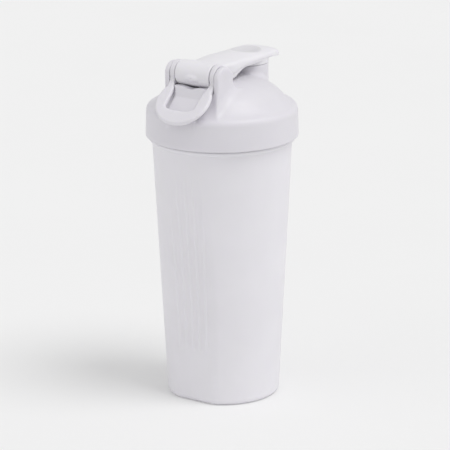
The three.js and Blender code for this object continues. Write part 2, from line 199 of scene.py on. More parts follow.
LOOP_TILT = math.radians(41)
LOOP_HALF_THICKNESS = 1.5
EYE_RADIUS = 7.6
EYE_HALF = 16.7
LOOP_INNER_HALF = 13.3
LOOP_OPENING_HALF = 10.9
LOOP_LIP = 0.9
LOOP_HALF = loop_high[0]
LOOP_SHOULDER = 13.0
LOOP_BEND = 22.0
LOOP_END = 39.7
LOOP_OPENING_END = 29.8
LOOP_ARM_START = 9                     # the eyes end and the rounded arms begin
LOOP_EDGE = 0.6
LOOP_ARM_EDGE = 1.6

WIRE_RADIUS = 1.1
BALL_RADIUS = 25.0
BALL_TURNS = 8
BALL_POLE = 0.22                       # angle of the open circle at each pole, in radians
BALL_STEPS_PER_TURN = 56
FIT = 0.3                              # gap between pieces that only touch

CELL = 0.6      # grid step of the lid; the cap and loop use FINE of it
FINE = 0.75
BLOCK = 5                              # grid steps in a block of the narrow band


# ---------------------------------------------------------------- meshes
def add_mesh(name, points_mm, faces):
    """A smooth-shaded object whose mesh is given in millimetres."""
    mesh = bpy.data.meshes.new(name)
    mesh.from_pydata((np.asarray(points_mm) / MM).tolist(), [], [list(map(int, f)) for f in faces])
    mesh.validate()
    mesh.polygons.foreach_set("use_smooth", np.ones(len(mesh.polygons), bool))
    obj = bpy.data.objects.new(name, mesh)
    bpy.context.scene.collection.objects.link(obj)
    return obj


def finish_piece(obj, body, slot, material, *nodes):
    """The piece rides on its body, takes its material, and stands for these CAD nodes; slot is not used."""
    obj.data.materials.append(material)
    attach(obj, body)
    if nodes:
        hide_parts(*nodes)
    return obj


def grid_faces(rows, columns, wrap_rows=False):
    """Quads of a grid that closes on itself round its columns."""
    faces = []
    for i in range(rows if wrap_rows else rows - 1):
        a, b = i * columns, ((i + 1) % rows) * columns
        for j in range(columns):
            k = (j + 1) % columns
            faces.append((a + j, a + k, b + k, b + j))
    return faces


def turned(name, profile, segments=96, centre=(0.0, 0.0)):
    """A closed (radius, height) outline turned about a vertical axis; it may touch the axis."""
    angle = np.linspace(0, 2 * math.pi, segments, endpoint=False)
    on_axis = [radius < 1e-6 for radius, _ in profile]
    points, rings = [], []
    for (radius, height), centre_point in zip(profile, on_axis):
        start = len(points)
        if centre_point:
            points.append((centre[0], centre[1], height))
            rings.append([start] * segments)
            continue
        for a in angle:
            points.append((centre[0] + radius * math.cos(a), centre[1] + radius * math.sin(a), height))
        rings.append(list(range(start, start + segments)))
    faces = []
    closed = not (on_axis[0] and on_axis[-1])
    for i in range(len(rings) if closed else len(rings) - 1):
        low, high = rings[i], rings[(i + 1) % len(rings)]
        for j in range(segments):
            k = (j + 1) % segments
            corners = [low[j], low[k], high[k], high[j]]
            corners = [c for n, c in enumerate(corners) if c != corners[n - 1]]
            if len(corners) > 2:
                faces.append(corners)
    return add_mesh(name, points, faces)


def rounded_outline(corners, radius, steps=4):
    """The closed outline through these corners with each corner rounded."""
    outline = []
    for i, corner in enumerate(corners):
        here = np.array(corner, float)
        before = np.array(corners[i - 1], float) - here
        after = np.array(corners[(i + 1) % len(corners)], float) - here
        if here[0] < 1e-6:
            outline.append(tuple(here))
            continue
        cut = min(radius, np.linalg.norm(before) / 2.2, np.linalg.norm(after) / 2.2)
        start = here + before / np.linalg.norm(before) * cut
        end = here + after / np.linalg.norm(after) * cut
        for t in np.linspace(0, 1, steps + 1):
            outline.append(tuple((1 - t) ** 2 * start + 2 * t * (1 - t) * here + t**2 * end))
    return outline


def bezier(corners, places):
    """Points of the Bezier curve with these control corners, at places between 0 and 1."""
    points = []
    for t in places:
        left = np.array(corners, float)
        while len(left) > 1:
            left = left[:-1] * (1 - t) + left[1:] * t
        points.append(tuple(left[0]))
    return points


def with_mirror(right):
    """The closed outline made of this right half, which ends on the middle line, and its mirror."""
    return right + [(-x, other) for x, other in reversed(right[:-1])]


# ---------------------------------------------------------------- rounded solids
def smooth_max(a, b, blend):
    """The larger of two fields, with the edge between them rounded over blend."""
    overlap = np.maximum(blend - np.abs(a - b), 0.0) / blend
    return np.maximum(a, b) + overlap * overlap * blend * 0.25


def smooth_min(a, b, blend):
    """The smaller of two fields, with the corner between them filled over blend."""
    return -smooth_max(-a, -b, blend)


def polygon_distance(points, u, v):
    """Signed distance from (u, v) to a closed polygon, negative inside."""
    nearest = np.full(u.shape, np.inf)
    inside = np.zeros(u.shape, bool)
    for (u0, v0), (u1, v1) in zip(points, points[1:] + points[:1]):
        du, dv = u1 - u0, v1 - v0
        along = np.clip(((u - u0) * du + (v - v0) * dv) / (du * du + dv * dv), 0, 1)
        nearest = np.minimum(nearest, (u - u0 - du * along) ** 2 + (v - v0 - dv * along) ** 2)
        if dv:
            inside ^= ((v0 > v) != (v1 > v)) & (u < du * (v - v0) / dv + u0)
    return np.where(inside, -1.0, 1.0) * np.sqrt(nearest)


def inset_polygon(points, inset):
    """The clockwise polygon with every edge moved in by inset; adding it back rounds the corners."""
    moved = []
    for here, ahead in zip(points, points[1:] + points[:1]):
        along = np.subtract(ahead, here) / np.hypot(*np.subtract(ahead, here))
        moved.append((np.array(here) + inset * np.array([along[1], -along[0]]), along))
    corners = []
    for (start, along), (other, side) in zip(moved[-1:] + moved[:-1], moved):
        gap = other - start
        t = (gap[0] * side[1] - gap[1] * side[0]) / (along[0] * side[1] - along[1] * side[0])
        corners.append(tuple(start + along * t))
    return corners


def smooth_curve(points):
    """A smooth function through (x, y) points of rising x that never overshoots them."""
    x, y = np.array(points, float).T
    step = np.diff(x)
    slope = np.diff(y) / step
    tangent = np.concatenate([slope[:1], np.zeros(len(x) - 2), slope[-1:]])
    same = slope[:-1] * slope[1:] > 0
    tangent[1:-1][same] = 2 / (1 / slope[:-1][same] + 1 / slope[1:][same])

    def curve(at):
        i = np.clip(np.searchsorted(x, at) - 1, 0, len(step) - 1)
        t = np.clip((at - x[i]) / step[i], 0, 1)
        start = (2 * t**3 - 3 * t**2 + 1) * y[i] + (t**3 - 2 * t**2 + t) * step[i] * tangent[i]
        end = (3 * t**2 - 2 * t**3) * y[i + 1] + (t**3 - t**2) * step[i] * tangent[i + 1]
        return start + end

    return curve


def field_values(field, low, steps, cell):
    """The field on a grid: exact in the blocks near the surface, and coarse away from it."""
    centres = [low[i] + cell * BLOCK * (np.arange(steps[i] // BLOCK) + 0.5) for i in range(3)]
    coarse = field(*np.meshgrid(*centres, indexing="ij"))
    corner_distance = BLOCK * 0.5 * math.sqrt(3)
    steepest = 1.35                    # the fields are not quite true distances
    reach = cell * (corner_distance * steepest + 1)
    near = np.zeros([n + 1 for n in steps], bool)
    for i, j, k in np.argwhere(np.abs(coarse) < reach) * BLOCK:
        near[i:i + BLOCK + 1, j:j + BLOCK + 1, k:k + BLOCK + 1] = True
    owner = [np.minimum(np.arange(n + 1) // BLOCK, n // BLOCK - 1) for n in steps]
    values = coarse[np.ix_(*owner)].astype(np.float32)
    index = np.nonzero(near)
    values[index] = field(*[low[a] + cell * index[a] for a in range(3)])
    return values


def solid(name, field, low, high, cell):
    """The zero surface of field(x, y, z) as a mesh of even quads."""
    low = np.asarray(low, float) - 2 * cell
    steps = [int(math.ceil((high[i] + 2 * cell - low[i]) / (cell * BLOCK))) * BLOCK for i in range(3)]
    values = field_values(field, low, steps, cell)
    inside = values < 0
    corners = [(i, j, k) for i in (0, 1) for j in (0, 1) for k in (0, 1)]
    count = sum(
        inside[i:steps[0] + i, j:steps[1] + j, k:steps[2] + k].astype(np.int8) for i, j, k in corners
    )
    cells = np.argwhere((count > 0) & (count < 8))
    total = np.zeros((len(cells), 3))
    crossings = np.zeros(len(cells))
    for a in range(len(corners)):
        for b in range(a + 1, len(corners)):
            start, end = np.array(corners[a]), np.array(corners[b])
            if np.abs(start - end).sum() != 1:
                continue
            va = values[tuple((cells + start).T)]
            vb = values[tuple((cells + end).T)]
            crossing = (va < 0) != (vb < 0)
            t = np.where(crossing, va / np.where(crossing, va - vb, 1), 0)
            total += np.where(crossing[:, None], start + (end - start) * t[:, None], 0)
            crossings += crossing
    points = low + cell * (cells + total / crossings[:, None])
    number = np.full(steps, -1, np.int32)
    number[tuple(cells.T)] = np.arange(len(cells))
    quads = []
    for axis in range(3):
        side_a, side_b = [a for a in range(3) if a != axis]
        first = np.moveaxis(inside, axis, 0)
        edge = np.argwhere(first[:-1] != first[1:])
        edge = edge[(edge[:, 1] > 0) & (edge[:, 2] > 0)]
        at = np.zeros((len(edge), 3), int)
        at[:, axis], at[:, side_a], at[:, side_b] = edge.T
        ring = []
        for da, db in ((1, 1), (0, 1), (0, 0), (1, 0)):
            near = at.copy()
            near[:, side_a] -= da
            near[:, side_b] -= db
            ring.append(number[tuple(near.T)])
        ring = np.stack(ring, 1)
        leaves = inside[tuple(at.T)] != (axis == 1)
        ring[leaves] = ring[leaves][:, ::-1]
        quads.append(ring)
    points = settle(field, points, cell)
    return add_mesh(name, points, np.concatenate(quads))


def settle(field, points, cell, rounds=3):
    """Moves points onto the zero surface along the field's slope."""
    step = 0.08 * cell
    for _ in range(rounds):
        x, y, z = points.T
        value = field(x, y, z)
        slope = np.stack([
            field(x + step, y, z) - field(x - step, y, z),
            field(x, y + step, z) - field(x, y - step, z),
            field(x, y, z + step) - field(x, y, z - step),
        ], 1) / (2 * step)
        move = slope * (value / np.maximum((slope**2).sum(1), 0.2))[:, None]
        length = np.linalg.norm(move, axis=1, keepdims=True)
        points = points - move * np.minimum(1, 0.5 * cell / np.maximum(length, 1e-9))
    return points


def thread_turn(angle):
    """How far along its one turn a thread is at this angle, and its half thickness there."""
    turn = np.mod(angle, 2 * math.pi) / (2 * math.pi)
    ends = np.minimum(turn, 1 - turn)
    return turn, THREAD_RADIUS * np.clip(ends * THREAD_FADE, 0, 1) ** 0.5


def helix_distance(x, y, z, radius, start):
    """Distance to one right-hand thread turn that starts on +X at this height."""
    turn, wire = thread_turn(np.arctan2(y, x))
    return np.hypot(np.hypot(x, y) - radius, z - start - THREAD_LEAD * turn) - wire


# ---------------------------------------------------------------- cup
def cone_radius(z):
    """The round outside of the cup at this height."""
    return BASE_RADIUS + TAPER * z


def wall_radius(angle, z, ribbed):
    """The cup's wall, round but for the grip panels front and back."""
    off_centre = np.abs(np.mod(angle, math.pi) - math.pi / 2)
    panel = PANEL_BASE + PANEL_SLOPE * z + PANEL_FLARE * z**3
    flat = panel / np.maximum(np.cos(off_centre), 0.3)
    if ribbed:
        nearest = np.clip(np.round(off_centre / RIB_ANGLE), 0, 2)
        across = (off_centre - nearest * RIB_ANGLE) * flat / (RIB_WIDTH / 2)
        ridge = np.where(np.abs(across) < 1, np.cos(across * math.pi / 2) ** 2, 0)
        fade = np.clip((z - RIB_BOTTOM) / RIB_FADE, 0, 1)
        flat = flat + RIB_HEIGHT * ridge * fade * fade * (3 - 2 * fade)
    return smooth_min(cone_radius(z), flat, PANEL_EDGE)


def cup_angles():
    """Columns round the cup, closer together across the ribs."""
    wide = PANEL_REACH
    across = np.linspace(-wide, wide, 130, endpoint=False)
    between = np.linspace(wide, math.pi - wide, 84, endpoint=False)
    half = np.concatenate([across, between]) + math.pi / 2
    return np.concatenate([half, half + math.pi])


def cup_rows(angle):
    """Rows of (radius round the cup, height) from the base's centre, up outside, down inside."""
    rows = [(np.full_like(angle, r), 0.0) for r in BASE_RINGS]
    foot = wall_radius(angle, BASE_EDGE, True)
    for t in np.linspace(0, math.pi / 2, 8):
        rows.append((foot - BASE_EDGE * (1 - math.sin(t)), BASE_EDGE * (1 - math.cos(t))))
    for z in np.concatenate([np.arange(5, 30, 2.5), np.arange(30, 42, 1), np.arange(42, 124, 2.5),
                             np.arange(124, 152, 1.5), np.arange(152, 168, 3)]):
        rows.append((wall_radius(angle, z, True), z))
    bead = [(cone_radius(168.2), 168.2), (45.3, 168.8), (46.1, 169.1), (46.55, 169.5),
            (BEAD_RADIUS, 170), (BEAD_RADIUS, 171), (46.5, 171.4), (46.0, 171.65), (45.2, BEAD_TOP),
            (44.6, BEAD_TOP + 0.05), (44.25, BEAD_TOP + 0.3)]
    rows += [(np.full_like(angle, r), z) for r, z in bead]
    turn, wire = thread_turn(angle)
    for z in np.arange(172.4, RIM_HEIGHT - 1.2, 0.35):
        off = np.abs(z - CUP_THREAD_START - THREAD_LEAD * turn)
        out = CUP_THREAD_RADIUS + np.sqrt(np.maximum(wire**2 - off**2, 0))
        rows.append((smooth_max(np.full_like(angle, NECK_RADIUS), out - 0.1, 0.3), z))
    middle = (NECK_RADIUS + NECK_INNER_RADIUS) / 2
    half = (NECK_RADIUS - NECK_INNER_RADIUS) / 2
    for t in np.linspace(0, math.pi, 9):
        rows.append((np.full_like(angle, middle + half * math.cos(t)), RIM_HEIGHT - half * (1 - math.sin(t))))
    for z in np.concatenate([np.arange(182, 162, -4), np.arange(158, HEEL_TOP, -5)]):
        round_wall = np.minimum(wall_radius(angle, z, False) - WALL, NECK_INNER_RADIUS)
        rows.append((round_wall, z))
    heel = wall_radius(angle, HEEL_TOP, False) - WALL
    for t in np.linspace(0.15, math.pi / 2, 7):
        rows.append((heel - HEEL_RADIUS * (1 - math.cos(t)), FLOOR + HEEL_RADIUS * (1 - math.sin(t))))
    rows += [(np.full_like(angle, r), FLOOR) for r in (24, 16, 9, 2.2)]
    return rows


def make_cup():
    """The cup's rows joined into one skin, closed by a disc at each end."""
    angle = cup_angles()
    rows = cup_rows(angle)
    points = [np.stack([r * np.cos(angle), r * np.sin(angle), np.full_like(angle, z)], 1) for r, z in rows]
    faces = grid_faces(len(rows), len(angle))
    points = np.concatenate(points)
    last = len(points) - len(angle)
    count = len(angle)
    faces.append(tuple(range(count - 1, -1, -1)))
    faces.append(tuple(range(last, last + count)))
    return add_mesh("cup_body", points, faces)


# ---------------------------------------------------------------- lid
dome_height = smooth_curve(DOME)


def ear_outline():
    """The hinge ears seen from the side, in (y, z)."""
    front = HINGE_Y - EAR_RADIUS
    arc = [(HINGE_Y + EAR_RADIUS * math.cos(t), HINGE_Z + EAR_RISE * math.sin(t))
           for t in np.linspace(math.pi, math.pi * 0.27, 12)]
    back = [(-17.8, 218.4), (-17.2, 215.5), (-16.8, 212), (-15.6, 208.5), (-13, 205)]
    return [(front - 2.4, 192), (front - 1.2, 201), (front, 207), *arc, *back, (-13, 192)]


def beside_loop(along, drop):
    """The point this far along the resting loop and this far below its middle plane, in (y, z)."""
    return (HINGE_Y - along * math.cos(LOOP_TILT) + drop * math.sin(LOOP_TILT),
            HINGE_Z - along * math.sin(LOOP_TILT) - drop * math.cos(LOOP_TILT))


def apron_outline():
    """The wall under the barrel and the ramp below it, seen from the side, in (y, z)."""
    foot = beside_loop(RAMP_END, RAMP_DROP)
    return [(foot[0], 186), foot, beside_loop(RAMP_CREASE, RAMP_DROP), (APRON_Y, SADDLE_HEIGHT + 2),
            (-19, SADDLE_HEIGHT + 2), (-19, 186)]


def along_loop(y, z):
    """Distance along the resting loop from the hinge axis, and height above its middle plane."""
    dy, dz = y - HINGE_Y, z - HINGE_Z
    along = -dy * math.cos(LOOP_TILT) - dz * math.sin(LOOP_TILT)
    above = -dy * math.sin(LOOP_TILT) + dz * math.cos(LOOP_TILT)
    return along, above


def lid_field(x, y, z):
    """The lid: skirt and dome, spout, hinge ears and apron, then the hollows and the thread."""
    rho = np.hypot(x, y)
    side = np.abs(x)
    skirt = rho - (SKIRT_RADIUS - SKIRT_TAPER * (z - SKIRT_BOTTOM))
    body = smooth_max(skirt, (z - dome_height(rho)) * DOME_SCALE, DOME_BEND)
    body = smooth_max(body, SKIRT_BOTTOM - z, 0.9)

    spout_rho = np.hypot(x, y - SPOUT_Y)
    spout = smooth_max(spout_rho - SPOUT_RADIUS, z - SPOUT_TOP, 0.6)
    body = smooth_min(body, np.maximum(spout, SPOUT_ROOT - z), 3.5)

    ears = smooth_max(polygon_distance(EAR_POINTS, y, z), side - EAR_HALF, 1.4)
    apron_half = np.interp(z, [SADDLE_HEIGHT - APRON_TAPER, SADDLE_HEIGHT], [APRON_FOOT_HALF, APRON_HALF])
    apron = smooth_max(polygon_distance(APRON_CORE, y, z) - APRON_ROUND, side - apron_half, 1.0)
    body = smooth_min(body, ears, EAR_BLEND)
    body = smooth_min(body, apron, 2.0)

    hinge = np.hypot(y - HINGE_Y, z - HINGE_Z)
    saddle = SADDLE_HEIGHT - SADDLE_DIP * np.exp(-(x / SADDLE_DIP_HALF) ** 2) - z
    _, above = along_loop(y, z)
    arm_path = np.maximum(np.maximum(-LOOP_ARM_ROOM - above, y - HINGE_Y - 1.4), APRON_HALF - side)
    slot_radius = SLOT_RADIUS + SLOT_BUMP_ROOM * np.exp(-((x / 6.5) ** 4))
    slot = np.minimum(np.minimum(saddle, hinge - slot_radius), arm_path)
    slot = np.maximum(np.maximum(slot, side - SLOT_HALF), y - SLOT_BACK)
    body = smooth_max(body, -slot, 0.5)
    body = smooth_max(body, -np.maximum(hinge - PIN_HOLE_RADIUS, side - PIN_HOLE_HALF), 0.4)

    under_dome = smooth_max(rho - LIP_INNER_RADIUS, (z - dome_height(rho) + DOME_WALL) * DOME_SCALE, 2.0)
    channel = np.maximum(np.maximum(rho - SKIRT_INNER_RADIUS, LIP_OUTER_RADIUS - rho), z - LEDGE_HEIGHT)
    open_below = np.maximum(rho - SKIRT_INNER_RADIUS, z - LIP_BOTTOM)
    body = smooth_max(body, -np.minimum(np.minimum(under_dome, channel), open_below), 0.7)
    bore = np.maximum(spout_rho - SPOUT_BORE, BORE_BOTTOM - z)
    body = smooth_max(body, -bore, 1.0)
    thread = helix_distance(x, y, z, LID_THREAD_RADIUS, LID_THREAD_START)
    return smooth_min(body, thread, 0.3)


EAR_POINTS = ear_outline()
APRON_CORE = inset_polygon(apron_outline(), APRON_ROUND)


# ---------------------------------------------------------------- flip cap
cap_top = smooth_curve([(-40, 224.5), (-26.5, 224.2), (-22, 223.4), (-16, 222.8), (-8, 222.9), (2, 223.4),
                        (14, 223.2), (24, 223.0), (34, 222.6), (44, 221.4), (50, 219.9), (60, 217)])
cap_crown = smooth_curve([(-30, 1.4), (-15, 1.7), (0, 2.2), (20, 2.7), (36, 2.4), (46, 1.3), (60, 0.8)])
cap_crease = smooth_curve([(-30, 214.4), (-19.5, 213.4), (-14, 212.9), (-5, 214.5), (1.4, 216.4),
                           (9.6, 217.2), (22, 217.5), (35, 217.3), (44, 216.2), (56, 215.6)])
cap_lower_edge = smooth_curve([(-30, 213.4), (-19.5, 212.0), (-14, 210.9), (-5.6, 211.1), (-0.3, 213.5),
                               (8.8, 215.9), (20, 215.9), (30, 216.2), (38, 216.7), (56, 217)])


def cap_plan():
    """The flip cap seen from above, in (x, y)."""
    start, length = -13, 11            # where the arm widens from its root to its full width
    right = [(ARM_ROOT_HALF, -32), (ARM_ROOT_HALF, start)]
    right += [(ARM_ROOT_HALF + (ARM_HALF - ARM_ROOT_HALF) * t * t * (3 - 2 * t), start + length * t)
              for t in np.linspace(0.2, 1, 5)]
    corner = [(ARM_HALF, TAB_END - 6.2), (ARM_HALF - 1.2, TAB_END - 2), (7, TAB_END), (0, TAB_END)]
    return with_mirror(right + bezier(corner, np.linspace(0, 1, 11)))


CAP_PLAN = cap_plan()
BUMP_Y = HINGE_Y - CAP_BARREL_RADIUS * math.cos(BUMP_DROP) + BUMP_SINK
BUMP_Z = HINGE_Z - CAP_BARREL_RADIUS * math.sin(BUMP_DROP)


def cap_field(x, y, z):
    """The flip cap: hollow arm, barrel with its oval, thumb dish, and the parts over the spout."""
    side = np.abs(x)
    top = cap_top(y) - cap_crown(y) * (x / ARM_HALF) ** 2
    plan = polygon_distance(CAP_PLAN, x, y)
    cover = smooth_max(smooth_max(plan, z - top, 2.0), cap_crease(y) - z, 0.7)
    lip = smooth_max(plan + ARM_LIP_INSET, np.maximum(cap_lower_edge(y) - z, z - top + 2), 0.6)
    arm = np.minimum(cover, lip)
    hollow = smooth_max(plan + ARM_SIDE_WALL, z - top + ARM_WALL, 2.0)
    arm = smooth_max(arm, -np.maximum(hollow, ARM_HOLLOW_START - y), 0.9)

    hinge = np.hypot(y - HINGE_Y, z - HINGE_Z)
    barrel = smooth_max(hinge - CAP_BARREL_RADIUS, side - BARREL_HALF, 0.7)
    body = smooth_min(np.maximum(arm, HINGE_Y - y), barrel, 2.5)
    past_root = np.clip((y - ARM_ROOT) / ARM_ROOT_LENGTH, 0, 1)
    room = BARREL_HALF + (ARM_HALF + 0.5 - BARREL_HALF) * past_root
    body = smooth_max(body, side - room, 0.8)

    wide, deep, tall = BUMP_HALF
    bump = np.sqrt((x / wide) ** 2 + ((y - BUMP_Y) / deep) ** 2 + ((z - BUMP_Z) / tall) ** 2)
    body = smooth_min(body, (bump - 1) * deep, 0.5)

    above_pad = z - DISH_RIM + DISH_DEPTH + PAD_DEPTH
    spout_rho = np.hypot(x, y - SPOUT_Y)
    pad = np.maximum(spout_rho - BOSS_RADIUS - PAD_MARGIN, np.abs(above_pad) - PAD_HALF_THICKNESS)
    body = smooth_min(body, pad, 0.6)
    boss_wall = np.abs(spout_rho - BOSS_MIDDLE_RADIUS) - (BOSS_RADIUS - BOSS_MIDDLE_RADIUS)
    boss = smooth_max(boss_wall, np.maximum(BOSS_BOTTOM - z, above_pad), 0.4)
    collar_wall = np.abs(spout_rho - SPOUT_RADIUS + COLLAR_WALL / 2) - COLLAR_WALL / 2
    collar = np.maximum(smooth_max(collar_wall, SPOUT_TOP + COLLAR_GAP - z, 0.3), above_pad)
    body = smooth_min(smooth_min(body, boss, 0.6), collar, 0.6)
    ball = (DISH_RADIUS**2 + DISH_DEPTH**2) / (2 * DISH_DEPTH)
    dish = np.sqrt(x * x + (y - DISH_Y) ** 2 + (z - DISH_RIM + DISH_DEPTH - ball) ** 2) - ball
    body = smooth_max(body, -dish, 0.35)
    body = smooth_max(body, z - CAP_CEILING, 0.4)
    return smooth_max(body, PIN_HOLE_RADIUS - hinge, 0.4)


# ---------------------------------------------------------------- carry loop
def loop_outlines():
    """The loop's outer edge and its opening, in (x, distance along it)."""
    outer = [(EYE_HALF, -9), (EYE_HALF, LOOP_SHOULDER)]
    swell = [(EYE_HALF, LOOP_SHOULDER), (LOOP_HALF, LOOP_SHOULDER + 3), (LOOP_HALF, LOOP_BEND)]
    outer += bezier(swell, np.linspace(0.15, 1, 7))
    depth = LOOP_END - LOOP_BEND
    outer += [(LOOP_HALF * math.cos(t), LOOP_BEND + depth * math.sin(t))
              for t in np.linspace(0.1, math.pi / 2, 16)]
    half, end = LOOP_OPENING_HALF, LOOP_OPENING_END
    opening = [(LOOP_INNER_HALF, -10), (LOOP_INNER_HALF, LOOP_ARM_START)]
    opening += bezier([(LOOP_INNER_HALF, LOOP_ARM_START), (half, 14), (half, 21)], np.linspace(0.2, 1, 6))
    opening += bezier([(half, end - 3.4), (half, end - 0.6), (6, end), (0, end)], np.linspace(0, 1, 9))
    return with_mirror(outer), with_mirror(opening)


LOOP_OUTER, LOOP_OPENING = loop_outlines()


def loop_field(x, y, z):
    """The carry loop: two flat eyes on the hinge and a band round an opening."""
    along, above = along_loop(y, z)
    hinge = np.hypot(along, above)
    lip = LOOP_LIP * np.clip((along - LOOP_OPENING_END) / 7, 0, 1) ** 2
    faces = np.maximum(above - LOOP_HALF_THICKNESS, -LOOP_HALF_THICKNESS - lip - above)
    section = smooth_min(np.maximum(faces, -along), hinge - EYE_RADIUS, 2.0)
    edge = LOOP_EDGE + (LOOP_ARM_EDGE - LOOP_EDGE) * np.clip((along - LOOP_ARM_START) / 4, 0, 1)
    body = smooth_max(section, polygon_distance(LOOP_OUTER, x, along), edge)
    body = smooth_max(body, -polygon_distance(LOOP_OPENING, x, along), edge)
    return smooth_max(body, PIN_HOLE_RADIUS - hinge, 0.4)


# ---------------------------------------------------------------- small pieces
def make_gasket():
    """The flat ring between the cup's rim and the lid's ledge."""
    inner, outer = LIP_OUTER_RADIUS + FIT, gasket_high[0]
    low, high = gasket_low[2], gasket_high[2]
    outline = rounded_outline([(inner, low), (outer, low), (outer, high), (inner, high)], 0.4)
    return turned("lid_gasket_ring", outline, 128)


def make_plug_seal():
    """The soft cup on the cap's boss, with a slightly conical wall and a flange on the spout's rim."""
    low, high = seal_low[2], seal_high[2]
    tip_radius, root_radius = 9.7, 10.65
    flange = high - 1.2
    inner, floor = BOSS_RADIUS + FIT, BOSS_BOTTOM - FIT
    corners = [(0, low), (tip_radius, low), (root_radius, flange), (seal_high[0], flange),
               (seal_high[0], high), (inner, high), (inner, floor), (0, floor)]
    return turned("plug_seal_sleeve", rounded_outline(corners, 0.5), 96, (0, SPOUT_Y))


def make_pin():
    """The hinge pin, turned upright and then laid along X on the hinge axis."""
    radius = (pin_high[2] - pin_low[2]) / 2
    half = pin_high[0]
    corners = [(0, -half), (radius, -half), (radius, half), (0, half)]
    pin = turned("hinge_pin_rod", rounded_outline(corners, 0.5), 32)
    pin.data.transform(Matrix.Translation(Vector((0, HINGE_Y, HINGE_Z)) / MM)
                       @ Matrix.Rotation(math.pi / 2, 4, "Y"))
    return pin


def make_whisk_ball():
    """Wire wound on a sphere from its lower pole to its upper one."""
    centre = np.array([0, 0, FLOOR + FIT + BALL_RADIUS])
    radius = BALL_RADIUS - WIRE_RADIUS
    sides, steps = 10, BALL_STEPS_PER_TURN * BALL_TURNS
    tilt = np.linspace(BALL_POLE, math.pi - BALL_POLE, steps + 1)
    turn = 2 * math.pi * BALL_TURNS * np.linspace(0, 1, steps + 1)
    path = np.stack([np.sin(tilt) * np.cos(turn), np.sin(tilt) * np.sin(turn), -np.cos(tilt)], 1)
    path = radius * path + centre
    forward = np.gradient(path, axis=0)
    forward /= np.linalg.norm(forward, axis=1, keepdims=True)
    out = path - centre
    out -= forward * (out * forward).sum(1)[:, None]
    out /= np.linalg.norm(out, axis=1, keepdims=True)
    across = np.cross(forward, out)
    angle = np.linspace(0, 2 * math.pi, sides, endpoint=False)
    rings = path[:, None] + WIRE_RADIUS * (out[:, None] * np.cos(angle)[None, :, None]
                                           + across[:, None] * np.sin(angle)[None, :, None])
    points = np.concatenate([rings.reshape(-1, 3), path[:1], path[-1:]])
    faces = grid_faces(steps + 1, sides)
    first, last = len(points) - 2, len(points) - 1
    faces += [(first, (j + 1) % sides, j) for j in range(sides)]
    base = steps * sides
    faces += [(last, base + j, base + (j + 1) % sides) for j in range(sides)]
    return add_mesh("whisk_wire", points, faces)


# ---------------------------------------------------------------- materials
def new_material(name):
    """A material with one Principled shader, as (material, node tree, shader)."""
    material = bpy.data.materials.new(name)
    material.use_nodes = True
    tree = material.node_tree
    tree.nodes.clear()
    output = tree.nodes.new("ShaderNodeOutputMaterial")
    shader = tree.nodes.new("ShaderNodeBsdfPrincipled")
    tree.links.new(shader.outputs["BSDF"], output.inputs["Surface"])
    return material, tree, shader


def noise(tree, scale, detail, roughness=0.5):
    """Noise over the object's own coordinates, which are metres."""
    place = tree.nodes.new("ShaderNodeTexCoord")
    node = tree.nodes.new("ShaderNodeTexNoise")
    node.inputs["Scale"].default_value = scale
    node.inputs["Detail"].default_value = detail
    node.inputs["Roughness"].default_value = roughness
    tree.links.new(place.outputs["Object"], node.inputs["Vector"])
    return node.outputs["Fac"]


def ranged(tree, value, low, high):
    """The usual spread of a noise value, stretched to run from low to high."""
    node = tree.nodes.new("ShaderNodeMapRange")
    node.inputs["From Min"].default_value = 0.3
    node.inputs["From Max"].default_value = 0.7
    node.inputs["To Min"].default_value = low
    node.inputs["To Max"].default_value = high
    tree.links.new(value, node.inputs["Value"])
    return node.outputs["Result"]


def mixed_colour(tree, factor, dark, light):
    """A colour between dark and light, by factor."""
    node = tree.nodes.new("ShaderNodeMix")
    node.data_type = "RGBA"
    node.inputs[6].default_value = (*dark, 1)
    node.inputs[7].default_value = (*light, 1)
    tree.links.new(factor, node.inputs[0])
    return node.outputs[2]


def bumped(tree, height, distance, strength):
    """A normal for fine relief of this height, in metres."""
    node = tree.nodes.new("ShaderNodeBump")
    node.inputs["Distance"].default_value = distance
    node.inputs["Strength"].default_value = strength
    tree.links.new(height, node.inputs["Height"])
    return node.outputs["Normal"]


def paint_recess_shade(tree, colour, centre, radius):
    """The colour with painted shade: a little darker within this distance of an upright line, all in metres.
    """
    place = tree.nodes.new("ShaderNodeTexCoord")
    flat = tree.nodes.new("ShaderNodeVectorMath")
    flat.operation = "MULTIPLY"
    flat.inputs[1].default_value = (1, 1, 0)
    tree.links.new(place.outputs["Object"], flat.inputs[0])
    away = tree.nodes.new("ShaderNodeVectorMath")
    away.operation = "DISTANCE"
    away.inputs[1].default_value = (centre[0], centre[1], 0)
    tree.links.new(flat.outputs["Vector"], away.inputs[0])
    edge = tree.nodes.new("ShaderNodeMapRange")
    edge.inputs["From Min"].default_value = radius * 0.9
    edge.inputs["From Max"].default_value = radius
    edge.inputs["To Min"].default_value = PAINTED_RECESS_SHADE
    tree.links.new(away.outputs["Value"], edge.inputs["Value"])
    shade = tree.nodes.new("ShaderNodeVectorMath")
    shade.operation = "SCALE"
    tree.links.new(colour, shade.inputs[0])
    tree.links.new(edge.outputs["Result"], shade.inputs["Scale"])
    return shade.outputs["Vector"]


